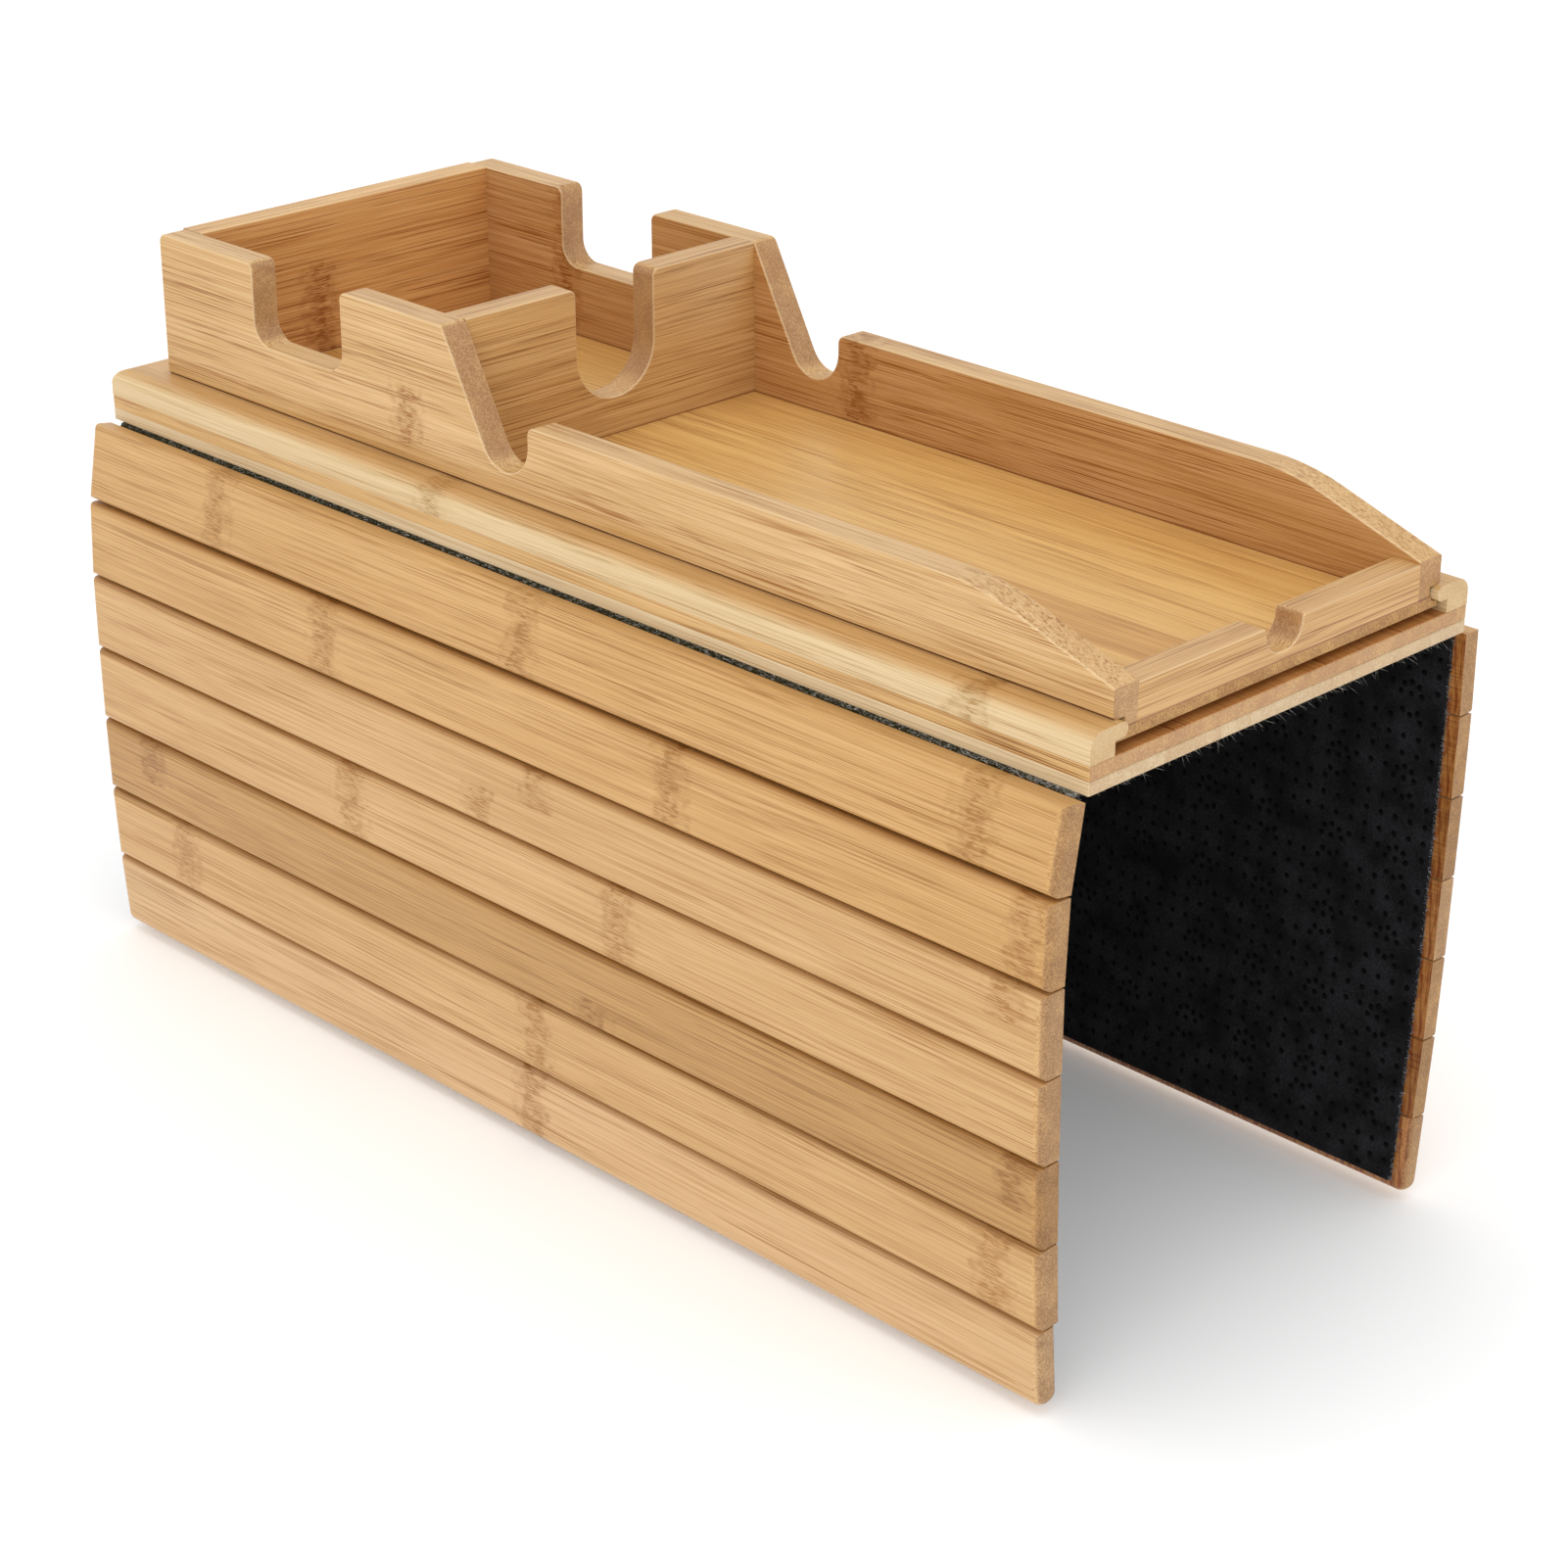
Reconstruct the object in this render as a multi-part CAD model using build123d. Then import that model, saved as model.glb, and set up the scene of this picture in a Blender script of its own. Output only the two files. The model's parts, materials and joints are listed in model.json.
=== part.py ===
from build123d import *
from math import asin, atan2, cos, hypot, radians, sin, tan
import os

os.makedirs("parts", exist_ok=True)

# The frame: origin at the centre of the felt's underside, X across the arm, Y towards the cup end, Z up.

# Felt sheet that carries both flaps
felt_thickness = 1.5
felt_margin = 3.7
felt_fold_relief = 0.6
felt_corner_relief = 1.8

# Base board of two full layers
base_length = 380.0
base_width = 144.0
lower_layer_thickness = 3.6
upper_layer_thickness = 4.0

# Rails glued along both long edges
rail_stem_width = 8.6
rail_height = 7.8
rail_pocket_height = 3.8
rail_outer_radius = 4.2
rail_rear_radius = 4.5
lip_overlap = 3.2

# Cross strip between the rails that stops the tray at the rear
stop_play = 0.6
stop_edge_radius = 1.0

# Sliding tray
tray_side_gap = 9.8
tray_front_setback = 1.9
tray_rear_setback = 15.0
board_thickness = 8.6
floor_thickness = 3.0
floor_lift = 2.0
flange_inset = 0.6
slide_clearance = 0.4
groove_clearance = 0.9
wall_edge_radius = 0.6
wall_foot_chamfer = 0.6

# Heights of the tray's walls over the top of the floor board
tall_height = 44.6
low_height = 24.3
side_end_height = 10.6
front_height = 9.9

# Outline of the side walls
cup_length = 109.5
handle_cut_width = 39.4
handle_cut_depth = 23.4
handle_cut_radius = 6.4
slant_notch_radius = 9.3
slant_notch_depth = 5.4
slant_notch_reach = 33.7
top_corner_radius = 2.4
slope_length = 42.0
slope_bend_radius = 70.0

# Openings in the cross walls
divider_notch_width = 28.6
divider_notch_depth = 33.7
front_notch_width = 13.8
front_notch_depth = 7.6
notch_mouth_radius = 2.4
front_mouth_radius = 1.2
notch_round_share = 0.98

# Slats of the flaps
slat_count = 7
slat_width = 22.5
slat_thickness = 7.2
slat_gap = 0.5
slat_edge_share = 0.38
slat_back_radius = 0.4
last_slat_edge_share = 0.44
first_hinge_gap = 1.8

# Lean of each hanging slat away from the arm, from the top one down
left_leans = (9.9, 2.7, 0.0, -0.5, -1.4, -2.8, -4.2)
right_leans = (0.2, -1.8, -2.6, -2.8, -3.9, -5.4, -5.6)

# Levels and positions that follow from the sizes above
base_bottom = felt_thickness
layer_joint = base_bottom + lower_layer_thickness
base_top = layer_joint + upper_layer_thickness
rail_top = base_top + rail_height
pocket_top = base_top + rail_pocket_height
base_half_length = base_length / 2
base_half_width = base_width / 2
tray_half_width = base_half_width - tray_side_gap
inner_half_width = tray_half_width - board_thickness
tray_front = -base_half_length + tray_front_setback
tray_rear = base_half_length - tray_rear_setback
floor_bottom = base_top + floor_lift
floor_top = floor_bottom + floor_thickness
nose_radius = (rail_top - pocket_top) / 2
nose_level = (rail_top + pocket_top) / 2
nose_centre = tray_half_width - lip_overlap + nose_radius
groove_face = tray_half_width - lip_overlap - groove_clearance
tall_top = floor_top + tall_height
low_top = floor_top + low_height
side_end_top = floor_top + side_end_height
front_top = floor_top + front_height
cup_rear = tray_rear - board_thickness
cup_front = cup_rear - cup_length
divider_front = cup_front - board_thickness


def box_between(low, high):
    """Box given by its lowest and highest corner."""
    size = [b - a for a, b in zip(low, high)]
    return Pos(*low) * Box(*size, align=(Align.MIN, Align.MIN, Align.MIN))


def rounded_face(corners):
    """Face from corners of two coordinates and a radius, each corner rounded by its radius."""
    count = len(corners)
    starts = []
    ends = []
    middles = []
    for i, (u, v, radius) in enumerate(corners):
        before = corners[i - 1]
        after = corners[(i + 1) % count]
        back = (before[0] - u, before[1] - v)
        ahead = (after[0] - u, after[1] - v)
        back_length = hypot(*back)
        ahead_length = hypot(*ahead)
        back = (back[0] / back_length, back[1] / back_length)
        ahead = (ahead[0] / ahead_length, ahead[1] / ahead_length)
        turn = abs(atan2(back[0] * ahead[1] - back[1] * ahead[0], back[0] * ahead[0] + back[1] * ahead[1]))
        reach = radius / tan(turn / 2)
        middle = (back[0] + ahead[0], back[1] + ahead[1])
        middle_length = hypot(*middle)
        depth = radius / sin(turn / 2) - radius
        starts.append((u + back[0] * reach, v + back[1] * reach))
        ends.append((u + ahead[0] * reach, v + ahead[1] * reach))
        middles.append((u + middle[0] / middle_length * depth, v + middle[1] / middle_length * depth))
    lines = []
    for i in range(count):
        if corners[i][2] > 0:
            lines.append(ThreePointArc(starts[i], middles[i], ends[i]))
        lines.append(Line(ends[i], starts[(i + 1) % count]))
    return make_face(lines)


def along_y(face, front, rear):
    """Solid of a face drawn in X and Z, from one Y position to another."""
    return extrude(Plane.XZ.offset(-rear) * face, amount=rear - front)


def along_x(face, left, right):
    """Solid of a face drawn in Y and Z, from one X position to another."""
    return extrude(Plane.YZ.offset(left) * face, amount=right - left)


def lip_face(growth):
    """Right rail's lip with its round nose, grown all round by a clearance."""
    reach = rail_stem_width + lip_overlap
    half = nose_radius + growth
    bar = Pos(nose_centre, nose_level - half) * Rectangle(reach, 2 * half, align=(Align.MIN, Align.MIN))
    return bar + Pos(nose_centre, nose_level) * Circle(half)


# Base board
def base_layer(bottom, top):
    """One full layer of the base board."""
    return box_between(
        (-base_half_width, -base_half_length, bottom),
        (base_half_width, base_half_length, top),
    )


base_board_lower = base_layer(base_bottom, layer_joint)
base_board_upper = base_layer(layer_joint, base_top)

# Waste of the rounding along the top rear edge of the rails and the stop
rear_corner = Pos(base_half_length, rail_top) * Rectangle(
    rail_rear_radius, rail_rear_radius, align=(Align.MAX, Align.MAX)
)
rear_arc = Pos(base_half_length - rail_rear_radius, rail_top - rail_rear_radius) * Circle(rail_rear_radius)
rear_waste = along_x(rear_corner - rear_arc, -base_half_width, base_half_width)

# Rails with a pocket under a round-nosed lip, the lip cut away where the stop is glued in
stem_inner = base_half_width - rail_stem_width
stop_front = tray_rear + stop_play
stem_face = rounded_face([
    (stem_inner, base_top, 0),
    (base_half_width, base_top, 0),
    (base_half_width, rail_top, rail_outer_radius),
    (stem_inner, rail_top, 0),
])
lip_limit = Pos(0, base_top) * Rectangle(
    base_half_width - rail_outer_radius, rail_height, align=(Align.MIN, Align.MIN)
)
stop_room = box_between(
    (-stem_inner, stop_front, base_top),
    (stem_inner, base_half_length, rail_top),
)
rail_right = along_y(stem_face + (lip_face(0) & lip_limit), -base_half_length, base_half_length)
rail_right = rail_right - stop_room - rear_waste
rail_left = mirror(rail_right, about=Plane.YZ)

# Rear stop between the rails
rear_stop = fillet(
    stop_room.edges().filter_by(Axis.X).group_by(Axis.Z)[-1].sort_by(Axis.Y)[0:1],
    stop_edge_radius,
)
rear_stop = rear_stop - rear_waste

# Tray floor with a flange that runs under the lips
flange_half_width = tray_half_width - flange_inset
tray_floor = box_between(
    (-flange_half_width, tray_front, floor_bottom),
    (flange_half_width, tray_rear, floor_top),
)
lip_room = along_y(lip_face(slide_clearance), tray_front, tray_rear)
tray_floor = tray_floor - lip_room - mirror(lip_room, about=Plane.YZ)

# Side walls, grooved at the foot for the lips and left square on top where a cross wall is glued in
notch_side = divider_front - slant_notch_reach
notch_run = slant_notch_reach - slant_notch_radius
notch_drop = tall_top - low_top + slant_notch_depth
slant_lean = atan2(notch_run, notch_drop) - asin(slant_notch_radius / hypot(notch_run, notch_drop))
slant_foot = tall_top - slant_notch_reach / tan(slant_lean)
cut_centre = (cup_front + cup_rear) / 2
cut_front = cut_centre - handle_cut_width / 2
cut_rear = cut_centre + handle_cut_width / 2
cut_bottom = tall_top - handle_cut_depth
side_face = rounded_face([
    (tray_front, floor_top, 0),
    (tray_rear, floor_top, 0),
    (tray_rear, tall_top, top_corner_radius),
    (cut_rear, tall_top, top_corner_radius),
    (cut_rear, cut_bottom, handle_cut_radius),
    (cut_front, cut_bottom, handle_cut_radius),
    (cut_front, tall_top, top_corner_radius),
    (divider_front, tall_top, top_corner_radius),
    (notch_side, slant_foot, slant_notch_radius),
    (notch_side, low_top, top_corner_radius),
    (tray_front + slope_length, low_top, slope_bend_radius),
    (tray_front, side_end_top, 0),
])
side_solid = along_x(side_face, inner_half_width, tray_half_width)
outline_edges = [
    edge
    for edge in side_solid.edges().group_by(Axis.X)[0] + side_solid.edges().group_by(Axis.X)[-1]
    if edge.center().Z > floor_top + wall_edge_radius and edge.center().Y > tray_front + wall_edge_radius
]
side_rounded = fillet(outline_edges, wall_edge_radius)
square_edge = along_x(side_face, inner_half_width, inner_half_width + wall_edge_radius)
for joint_front, joint_rear in ((divider_front, cup_front), (cup_rear, tray_rear)):
    joint_room = box_between(
        (inner_half_width, joint_front + wall_edge_radius, floor_top),
        (tray_half_width, joint_rear - wall_edge_radius, tall_top),
    )
    side_rounded = side_rounded + (square_edge & joint_room)
foot_groove = box_between(
    (groove_face, tray_front, floor_top),
    (tray_half_width, tray_rear, rail_top),
)
tray_wall_right = side_rounded - foot_groove
foot_edges = tray_wall_right.edges().filter_by(Axis.Y).group_by(Axis.X)[-1].sort_by(Axis.Z)[0:1]
tray_wall_right = chamfer(foot_edges, wall_foot_chamfer)
tray_wall_left = mirror(tray_wall_right, about=Plane.YZ)


# Cross walls between the side walls
def cross_wall(front, top, notch_width, notch_depth, mouth_radius):
    """Wall across the tray, with a round-bottomed opening in its top edge when a depth is given."""
    half = notch_width / 2
    outline = [(-inner_half_width, floor_top, 0), (inner_half_width, floor_top, 0), (inner_half_width, top, 0)]
    if notch_depth > 0:
        bottom_radius = min(half, notch_depth - mouth_radius) * notch_round_share
        outline.append((half, top, mouth_radius))
        outline.append((half, top - notch_depth, bottom_radius))
        outline.append((-half, top - notch_depth, bottom_radius))
        outline.append((-half, top, mouth_radius))
    outline.append((-inner_half_width, top, 0))
    wall = along_y(rounded_face(outline), front, front + board_thickness)
    top_edges = [
        edge
        for edge in wall.edges().group_by(Axis.Y)[0] + wall.edges().group_by(Axis.Y)[-1]
        if edge.center().Z > floor_top + wall_edge_radius and abs(edge.center().X) < inner_half_width - slide_clearance
    ]
    return fillet(top_edges, wall_edge_radius)


tray_wall_rear = cross_wall(cup_rear, tall_top, 0, 0, 0)
tray_divider = cross_wall(
    divider_front, tall_top, divider_notch_width, divider_notch_depth, notch_mouth_radius
)
tray_wall_front = cross_wall(
    tray_front, front_top, front_notch_width, front_notch_depth, front_mouth_radius
)

# Felt under the base
felt_half_length = base_half_length - felt_margin
felt_base_half_width = base_half_width + first_hinge_gap / 2 - felt_corner_relief
felt_base = box_between(
    (-felt_base_half_width, -felt_half_length, 0),
    (felt_base_half_width, felt_half_length, felt_thickness),
)


# Flaps, drawn for the right side with the back of the slat on X = 0 and the hinge line at the origin
def slat_solid(start, is_last):
    """One slat hanging down from a start distance below its hinge line."""
    slat = box_between(
        (0, -base_half_length, -start - slat_width),
        (slat_thickness, base_half_length, -start),
    )
    if is_last:
        lower_edges = slat.edges().filter_by(Axis.Y).group_by(Axis.Z)[0]
        slat = fillet(lower_edges, slat_thickness * last_slat_edge_share)
    else:
        slat = fillet(slat.edges().filter_by(Axis.Y).sort_by(Axis.X)[0:1], slat_back_radius)
    outer_edges = [
        edge
        for edge in slat.edges()
        if edge.center().X > slat_thickness - slat_back_radius
    ]
    return fillet(outer_edges, slat_thickness * slat_edge_share)


def felt_strip(start, end):
    """Felt behind one slat, between two distances below the hinge line."""
    return box_between(
        (-felt_thickness, -felt_half_length, -end),
        (0, felt_half_length, -start),
    )


def hang(solid, pivot, lean, on_left):
    """Solid leaned outward about its hinge line, on the right or mirrored to the left."""
    placed = Pos(pivot[0], 0, pivot[1]) * Rot(0, -lean, 0) * solid
    return mirror(placed, about=Plane.YZ) if on_left else placed


flaps = {}
for side, leans in (("left", left_leans), ("right", right_leans)):
    pivot = (base_half_width + first_hinge_gap / 2, base_bottom)
    for number in range(1, slat_count + 1):
        lean = leans[min(number, len(leans)) - 1]
        is_first = number == 1
        is_last = number == slat_count
        start = first_hinge_gap / 2 if is_first else slat_gap / 2
        length = start + slat_width + slat_gap / 2
        felt_start = felt_corner_relief if is_first else felt_fold_relief
        felt_end = length - felt_margin if is_last else length - felt_fold_relief
        slat = slat_solid(start, is_last)
        felt = felt_strip(felt_start, felt_end)
        flaps["slat_" + side + "_" + str(number)] = hang(slat, pivot, lean, side == "left")
        flaps["felt_" + side + "_" + str(number)] = hang(felt, pivot, lean, side == "left")
        turn = radians(lean)
        pivot = (pivot[0] + length * sin(turn), pivot[1] - length * cos(turn))

nodes = {
    "base_board_lower": base_board_lower,
    "base_board_upper": base_board_upper,
    "rail_left": rail_left,
    "rail_right": rail_right,
    "rear_stop": rear_stop,
    "felt_base": felt_base,
    "tray_floor": tray_floor,
    "tray_wall_left": tray_wall_left,
    "tray_wall_right": tray_wall_right,
    "tray_wall_rear": tray_wall_rear,
    "tray_wall_front": tray_wall_front,
    "tray_divider": tray_divider,
}
nodes.update(flaps)

for name, solid in nodes.items():
    export_step(solid, os.path.join("parts", name + ".step"))
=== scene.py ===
import json
import math
import random

import bmesh
import bpy
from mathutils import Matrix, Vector


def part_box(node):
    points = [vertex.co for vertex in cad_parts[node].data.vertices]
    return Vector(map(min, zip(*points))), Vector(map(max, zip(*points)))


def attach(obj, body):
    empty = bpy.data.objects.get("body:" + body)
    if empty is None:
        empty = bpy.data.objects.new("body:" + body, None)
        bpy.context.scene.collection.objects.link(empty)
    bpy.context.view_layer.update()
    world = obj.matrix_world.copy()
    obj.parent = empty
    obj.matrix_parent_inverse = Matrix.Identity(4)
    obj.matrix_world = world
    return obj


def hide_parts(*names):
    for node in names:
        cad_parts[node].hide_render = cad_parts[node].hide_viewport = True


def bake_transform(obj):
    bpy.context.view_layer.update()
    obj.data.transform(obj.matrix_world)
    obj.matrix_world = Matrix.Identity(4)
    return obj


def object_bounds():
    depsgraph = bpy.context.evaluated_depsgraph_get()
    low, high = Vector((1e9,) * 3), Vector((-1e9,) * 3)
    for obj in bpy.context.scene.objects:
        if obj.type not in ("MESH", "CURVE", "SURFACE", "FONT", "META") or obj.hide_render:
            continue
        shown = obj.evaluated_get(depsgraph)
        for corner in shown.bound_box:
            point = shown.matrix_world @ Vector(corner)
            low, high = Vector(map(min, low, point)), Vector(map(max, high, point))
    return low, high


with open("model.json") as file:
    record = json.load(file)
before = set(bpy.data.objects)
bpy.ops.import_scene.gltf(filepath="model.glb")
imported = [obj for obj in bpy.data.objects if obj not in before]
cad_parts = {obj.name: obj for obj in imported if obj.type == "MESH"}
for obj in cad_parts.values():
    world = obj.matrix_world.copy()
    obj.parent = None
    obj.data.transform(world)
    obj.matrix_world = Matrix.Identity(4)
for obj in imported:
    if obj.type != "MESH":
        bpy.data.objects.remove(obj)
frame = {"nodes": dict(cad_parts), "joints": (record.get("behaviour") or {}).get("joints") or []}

cad_low, cad_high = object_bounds()

# Base board: two full-width layers of bamboo board, the lower one pale and the upper one browner,
# each glued up from flat strips about 20 mm wide, pressed together, planed and lacquered.
mm = 0.001
along_tray = Vector((0, 1, 0))
across_tray = Vector((1, 0, 0))
upwards = Vector((0, 0, 1))
board_edge_wear = 0.35 * mm
sharp_corner = math.radians(40)
# The bamboo material counts in millimetres, and no board reaches as far as nowhere
base_strip_width = 20.6
nowhere = 900.0
soft_step = {"interpolation_type": "SMOOTHSTEP"}
colour_mix = {"data_type": "RGBA"}
colour_stain = {"data_type": "RGBA", "blend_type": "MULTIPLY"}


def linear(colour):
    """Linear red, green, blue and alpha of an sRGB hex colour."""
    parts = [int(colour[i:i + 2], 16) / 255 for i in (1, 3, 5)]
    return [p / 12.92 if p <= 0.04045 else ((p + 0.055) / 1.055) ** 2.4 for p in parts] + [1.0]


def add(tree, kind, settings=None, links=None):
    """Adds a node, with its attributes and unlinked inputs from settings and its other inputs from links."""
    node = tree.nodes.new(kind)
    for key, value in (settings or {}).items():
        if isinstance(key, int) or key in node.inputs:
            node.inputs[key].default_value = value
        else:
            setattr(node, key, value)
    for key, source in (links or {}).items():
        tree.links.new(source, node.inputs[key])
    return node


def bamboo_structure():
    """Node group of one bamboo strip in millimetres: fibres along Y, nodes, and pores where it is cut across."""
    group = bpy.data.node_groups.new("Bamboo structure", "ShaderNodeTree")
    taken = (
        ("Place", "Vector"), ("Number", "Float"), ("Bands", "Vector"), ("Reach", "Vector"),
        ("Cut across", "Float"), ("Tone", "Float"), ("Contrast", "Float"),
        ("Light", "Color"), ("Dark", "Color"), ("Fibre", "Color"), ("Pore", "Color"),
    )
    made = (("Colour", "Color"), ("Roughness", "Float"), ("Height", "Float"))
    for direction, sockets in (("INPUT", taken), ("OUTPUT", made)):
        for title, kind in sockets:
            group.interface.new_socket(title, in_out=direction, socket_type="NodeSocket" + kind)
    given = add(group, "NodeGroupInput").outputs

    # Every strip reads another part of the same endless cane, one such step on for each number
    step = (37.3, 611.7, 23.9)
    offset = add(group, "ShaderNodeVectorMath", {"operation": "SCALE", 0: step}, {"Scale": given["Number"]})
    place = add(group, "ShaderNodeVectorMath", {"operation": "ADD"}, {
        0: given["Place"], 1: offset.outputs[0]}).outputs[0]

    # A node is a zigzag chain of dark strokes across the strip, in a halo of fainter ones about 17 mm long;
    # the chain turns about every 3.6 mm
    node_sway, sway_scale = 8.0, 0.28
    wave = add(group, "ShaderNodeTexNoise", {"Scale": sway_scale, "Detail": 2.0}, {"Vector": place}).outputs[0]
    sway = add(group, "ShaderNodeMapRange", {"To Min": -node_sway, "To Max": node_sway}, {0: wave}).outputs[0]
    spot = add(group, "ShaderNodeSeparateXYZ", links={0: given["Place"]}).outputs
    swayed = add(group, "ShaderNodeMath", {"operation": "ADD"}, {0: spot[1], 1: sway}).outputs[0]
    far = add(group, "ShaderNodeVectorMath", {"operation": "SUBTRACT"}, {0: swayed, 1: given["Bands"]}).outputs[0]
    far = add(group, "ShaderNodeVectorMath", {"operation": "ABSOLUTE"}, {0: far}).outputs[0]
    first, second, third = add(group, "ShaderNodeSeparateXYZ", links={0: far}).outputs
    gap = add(group, "ShaderNodeMath", {"operation": "MINIMUM"}, {0: first, 1: second}).outputs[0]
    gap = add(group, "ShaderNodeMath", {"operation": "MINIMUM"}, {0: gap, 1: third}).outputs[0]

    # Across the strip the nodes fade out within the blur on both sides of their reach
    reach = add(group, "ShaderNodeSeparateXYZ", links={0: given["Reach"]}).outputs
    inside = []
    for end, blur in ((reach[0], 3.0), (reach[1], -3.0)):
        past = add(group, "ShaderNodeMath", {"operation": "SUBTRACT"}, {0: spot[0], 1: end}).outputs[0]
        inside.append(add(group, "ShaderNodeMapRange", {
            **soft_step, "From Min": -blur, "From Max": blur}, {0: past}).outputs[0])
    within = add(group, "ShaderNodeMath", {"operation": "MULTIPLY"}, dict(enumerate(inside))).outputs[0]
    node = {}
    for title, faint, full in (("halo", 8.5, 1.5), ("core", 3.0, 0.8)):
        near = add(group, "ShaderNodeMapRange", {
            **soft_step, "From Min": faint, "From Max": full}, {0: gap}).outputs[0]
        node[title] = add(group, "ShaderNodeMath", {"operation": "MULTIPLY"}, {0: near, 1: within}).outputs[0]

    # Fibres bend slowly along the cane and swerve at the nodes: the size of each bend, then how far it
    # pushes them away from the nodes and at them
    bent = place
    for size, clear_push, node_push in (((28.0, 130.0, 28.0), 1.6, 1.6), ((2.4, 7.0, 2.4), 0.03, 0.8)):
        spread = add(group, "ShaderNodeVectorMath", {"operation": "DIVIDE", 1: size}, {0: place}).outputs[0]
        turn = add(group, "ShaderNodeTexNoise", {"Scale": 1.0, "Detail": 1.0}, {"Vector": spread}).outputs[1]
        turn = add(group, "ShaderNodeVectorMath", {
            "operation": "SUBTRACT", 1: (0.5, 0.5, 0.5)}, {0: turn}).outputs[0]
        push = add(group, "ShaderNodeMapRange", {
            "To Min": clear_push, "To Max": node_push}, {0: node["halo"]}).outputs[0]
        turn = add(group, "ShaderNodeVectorMath", {"operation": "SCALE"}, {0: turn, "Scale": push}).outputs[0]
        bent = add(group, "ShaderNodeVectorMath", {"operation": "ADD"}, {0: bent, 1: turn}).outputs[0]

    # Noises by the width and length in millimetres of what they draw. The real fibre lines are about
    # 0.15 mm wide; here the finest are 0.2 to 0.32 mm wide so that they show.
    noise = {}
    for title, wide, long, detail in (
        ("fibre", 0.32, 80.0, 1.0), ("thread", 0.24, 44.0, 1.0), ("life", 0.8, 30.0, 2.0),
        ("hair", 0.2, 60.0, 1.0), ("streak", 0.9, 200.0, 2.0), ("zone", 6.0, 320.0, 1.0),
        ("cloud", 16.0, 90.0, 1.0), ("fleck", 0.48, 4.4, 1.0), ("patch", 5.0, 8.0, 1.0),
    ):
        spread = add(group, "ShaderNodeVectorMath", {
            "operation": "DIVIDE", 1: (wide, long, wide)}, {0: bent}).outputs[0]
        noise[title] = add(group, "ShaderNodeTexNoise", {
            "Scale": 1.0, "Detail": detail, "Roughness": 0.55}, {"Vector": spread}).outputs[0]

    # Each mask rises from least to one between two values of its noise
    mask = {}
    for title, source, low, high, least in (
        ("lines", "fibre", 0.555, 0.6, 0.0), ("threads", "thread", 0.54, 0.6, 0.0),
        ("life", "life", 0.38, 0.56, 0.15), ("zone", "zone", 0.34, 0.6, 0.4),
        ("flecks", "fleck", 0.5, 0.56, 0.0), ("patch", "patch", 0.38, 0.56, 0.45),
    ):
        mask[title] = add(group, "ShaderNodeMapRange", {
            **soft_step, "From Min": low, "From Max": high, "To Min": least}, {0: noise[source]}).outputs[0]

    # Fibre lines: fine threads are fainter than the rest, and both break off and thin out
    thread_strength = 0.6
    lines = add(group, "ShaderNodeMath", {
        "operation": "MULTIPLY", 1: thread_strength}, {0: mask["threads"]}).outputs[0]
    lines = add(group, "ShaderNodeMath", {"operation": "MAXIMUM"}, {0: mask["lines"], 1: lines}).outputs[0]
    for factor in ("life", "zone"):
        lines = add(group, "ShaderNodeMath", {"operation": "MULTIPLY"}, {0: lines, 1: mask[factor]}).outputs[0]

    # Strokes of the nodes: strong in the core, and scattered in patches of the halo
    patch_strength, core_strength = 0.75, 0.8
    cluster = add(group, "ShaderNodeMath", {"operation": "MULTIPLY"}, {
        0: node["halo"], 1: mask["patch"]}).outputs[0]
    weight = add(group, "ShaderNodeMath", {
        "operation": "MULTIPLY", 1: patch_strength}, {0: cluster}).outputs[0]
    weight = add(group, "ShaderNodeMath", {
        "operation": "MULTIPLY_ADD", 1: core_strength, "use_clamp": True}, {0: node["core"], 2: weight}).outputs[0]
    flecks = add(group, "ShaderNodeMath", {"operation": "MULTIPLY"}, {0: mask["flecks"], 1: weight}).outputs[0]

    # Ground tone between dark and light; it is darkest along the fibre lines
    tone = add(group, "ShaderNodeMath", {"operation": "ADD", 1: 0.5}, {0: given["Tone"]}).outputs[0]
    for title, weight in (("streak", 0.9), ("cloud", 0.9), ("hair", 1.8), ("fibre", -1.6)):
        centred = add(group, "ShaderNodeMath", {"operation": "SUBTRACT", 1: 0.5}, {0: noise[title]}).outputs[0]
        tone = add(group, "ShaderNodeMath", {
            "operation": "MULTIPLY_ADD", 1: weight}, {0: centred, 2: tone}).outputs[0]
    tone = add(group, "ShaderNodeMath", {"operation": "ADD", 1: 0.0, "use_clamp": True}, {0: tone}).outputs[0]
    ground = add(group, "ShaderNodeMix", colour_mix, {
        "Factor": tone, 6: given["Dark"], 7: given["Light"]}).outputs[2]

    # The long face: ground, the browner halo of the nodes, fibre lines, then the short dark strokes. Nodes
    # don't vanish on a board of no contrast as its fibre lines do.
    faced = ground
    least_knots = 0.1
    knots = add(group, "ShaderNodeMapRange", {"To Min": least_knots}, {0: given["Contrast"]}).outputs[0]
    for source, most, share in (
        (cluster, 0.4, knots), (lines, 1.0, given["Contrast"]), (flecks, 0.95, knots),
    ):
        strength = add(group, "ShaderNodeMath", {"operation": "MULTIPLY", 1: most}, {0: source}).outputs[0]
        strength = add(group, "ShaderNodeMath", {"operation": "MULTIPLY"}, {0: strength, 1: share}).outputs[0]
        faced = add(group, "ShaderNodeMix", colour_mix, {
            "Factor": strength, 6: faced, 7: given["Fibre"]}).outputs[2]

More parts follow.
